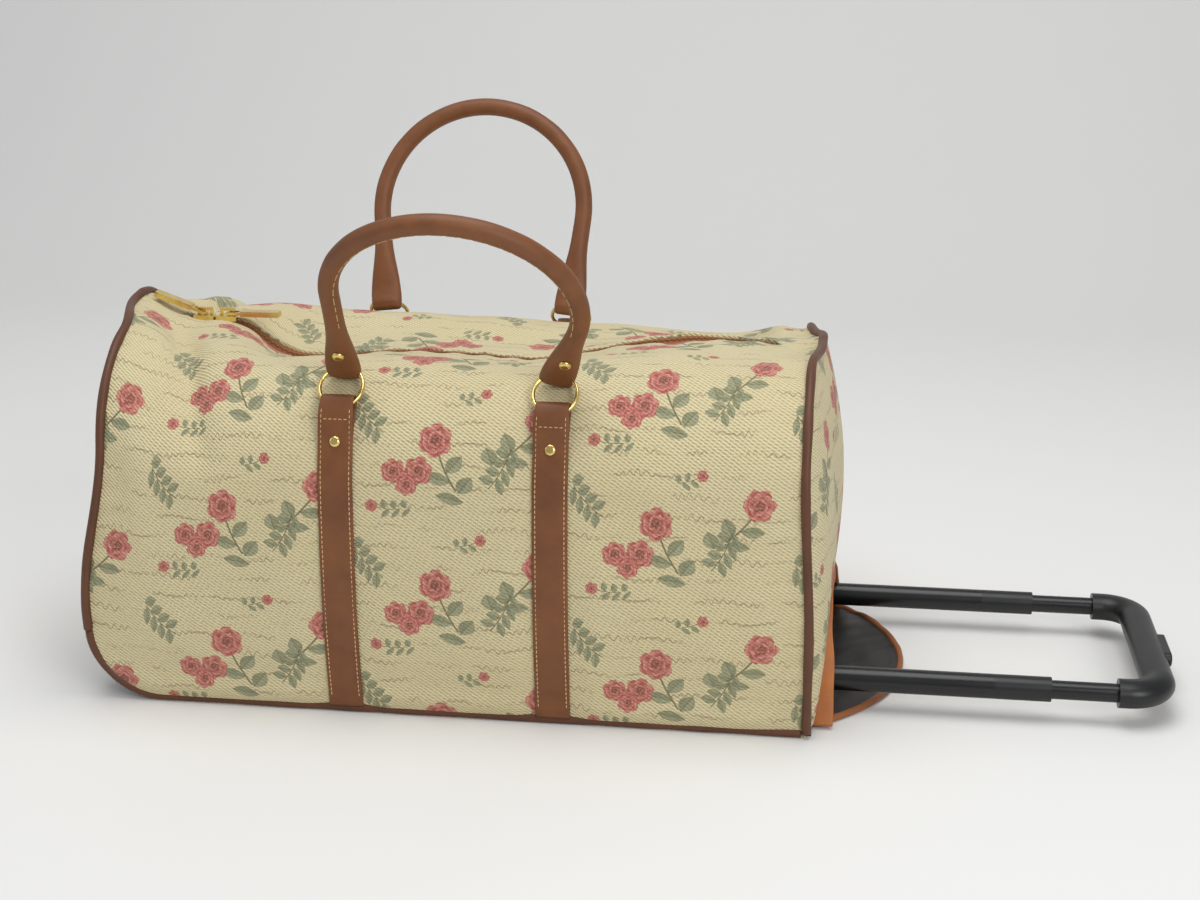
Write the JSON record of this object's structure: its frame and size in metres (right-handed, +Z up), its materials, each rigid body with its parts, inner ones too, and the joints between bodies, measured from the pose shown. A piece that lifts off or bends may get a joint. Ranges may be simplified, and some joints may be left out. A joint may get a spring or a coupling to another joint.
{
  "type": "wheeled carpet bag",
  "caption": "Wheeled tapestry holdall with piped seams, leather straps and ring handles, a zip along the top and a telescopic pull handle that stows in an end pocket.",
  "frame": {"origin": "under the middle of the bag, on the plane of its base", "axes": "+X along the bag towards the pull handle, -Y to the front that the picture shows, +Z up"},
  "size_m": [0.793, 0.4091, 0.4117],
  "materials": {
    "base_cloth": "coated cloth, matt",
    "black_plastic": "fine grain",
    "black_tube": "black, satin",
    "board": "sheet",
    "brass": "polished",
    "cord": "twisted cord",
    "leather": "smooth, satin",
    "lining": "nylon, matt",
    "piping_leather": "smooth, satin",
    "steel": "plain",
    "tapestry": "woven, matt",
    "tyre": "matt",
    "zip_cloth": "woven tape",
    "zip_teeth": "moulded"
  },
  "bodies": {
    "bag": {"axle_back": "steel", "axle_front": "steel", "back_panel": "tapestry", "base_board": "board", "base_panel": "base_cloth", "base_piping_back": "piping_leather", "base_piping_front": "piping_leather", "flap_binding": "leather", "front_panel": "tapestry", "handle_end_panel": "tapestry", "handle_end_piping": "piping_leather", "mouth_plate": "black_plastic", "outer_tube_back": "black_tube", "outer_tube_front": "black_tube", "pocket_collar": "leather", "pocket_flap": "lining", "pocket_lining": "lining", "strap_back_left": "leather", "strap_back_right": "leather", "strap_front_left": "leather", "strap_front_right": "leather", "strap_rivets": "brass", "tube_bracket": "black_plastic", "wheel_end_panel": "tapestry", "wheel_end_piping": "piping_leather", "wheel_housing_back": "black_plastic", "wheel_housing_front": "black_plastic", "zip_tape": "zip_cloth", "zip_teeth": "zip_teeth"},
    "trolley_middle": {"middle_tube_front": "black_tube", "middle_tube_back": "black_tube", "middle_bush_front": "black_plastic", "middle_bush_back": "black_plastic", "middle_glide_front": "black_plastic", "middle_glide_back": "black_plastic"},
    "trolley_inner": {"inner_tube_front": "black_tube", "inner_tube_back": "black_tube", "inner_glide_front": "black_plastic", "inner_glide_back": "black_plastic", "grip": "black_plastic"},
    "trolley_button": {"release_button": "black_plastic"},
    "wheel_front": {"wheel_hub_front": "black_plastic", "wheel_tyre_front": "tyre"},
    "wheel_back": {"wheel_hub_back": "black_plastic", "wheel_tyre_back": "tyre"},
    "front_rings": {"ring_front_left": "brass", "ring_front_right": "brass"},
    "front_handle": {"handle_front": "leather", "handle_core_front": "cord", "handle_rivets_front": "brass"},
    "back_rings": {"ring_back_left": "brass", "ring_back_right": "brass"},
    "back_handle": {"handle_back": "leather", "handle_core_back": "cord", "handle_rivets_back": "brass"},
    "left_slider": {"slider_left": "brass"},
    "left_pull": {"pull_left": "brass"},
    "right_slider": {"slider_right": "brass"},
    "right_pull": {"pull_right": "brass"}
  },
  "joints": [
    {"name": "trolley_middle_slide", "type": "slide", "parent": "bag", "child": "trolley_middle", "axis": [1, 0, 0], "range_m": [-0.212, 0.11]},
    {"name": "trolley_inner_slide", "type": "slide", "parent": "trolley_middle", "child": "trolley_inner", "axis": [1, 0, 0], "range_m": [-0.046, 0.258]},
    {"name": "release_button_press", "type": "slide", "parent": "trolley_inner", "child": "trolley_button", "axis": [-1, 0, 0], "range_m": [0, 0.003], "stiffness_N_per_m": 400},
    {"name": "wheel_front_spin", "type": "hinge", "parent": "bag", "child": "wheel_front", "pos_m": [-0.2351, -0.105, 0.0299], "axis": [0, 1, 0], "continuous": true},
    {"name": "wheel_back_spin", "type": "hinge", "parent": "bag", "child": "wheel_back", "pos_m": [-0.2351, 0.105, 0.0299], "axis": [0, 1, 0], "continuous": true},
    {"name": "front_ring_swing", "type": "hinge", "parent": "bag", "child": "front_rings", "pos_m": [0.005, -0.13154, 0.23026], "axis": [1, 0, 0], "range_deg": [0, 90]},
    {"name": "front_handle_swing", "type": "hinge", "parent": "front_rings", "child": "front_handle", "pos_m": [0.005, -0.11476, 0.2496], "axis": [1, 0, 0], "range_deg": [-77, 41]},
    {"name": "back_ring_swing", "type": "hinge", "parent": "bag", "child": "back_rings", "pos_m": [-0.022, 0.13154, 0.23026], "axis": [-1, 0, 0], "range_deg": [0, 90]},
    {"name": "back_handle_swing", "type": "hinge", "parent": "back_rings", "child": "back_handle", "pos_m": [-0.022, 0.11476, 0.2496], "axis": [-1, 0, 0], "range_deg": [-56, 62]},
    {"name": "left_slider_slide", "type": "slide", "parent": "bag", "child": "left_slider", "axis": [1, 0, 0], "range_m": [-0.004, 0]},
    {"name": "left_pull_swing", "type": "hinge", "parent": "left_slider", "child": "left_pull", "pos_m": [-0.212, 0, 0.2625], "axis": [0, 1, 0], "range_deg": [0, 70]},
    {"name": "right_slider_slide", "type": "slide", "parent": "bag", "child": "right_slider", "axis": [1, 0, 0], "range_m": [0, 0.374]},
    {"name": "right_pull_swing", "type": "hinge", "parent": "right_slider", "child": "right_pull", "pos_m": [-0.194, 0, 0.2625], "axis": [0, -1, 0], "range_deg": [0, 90]}
  ]
}
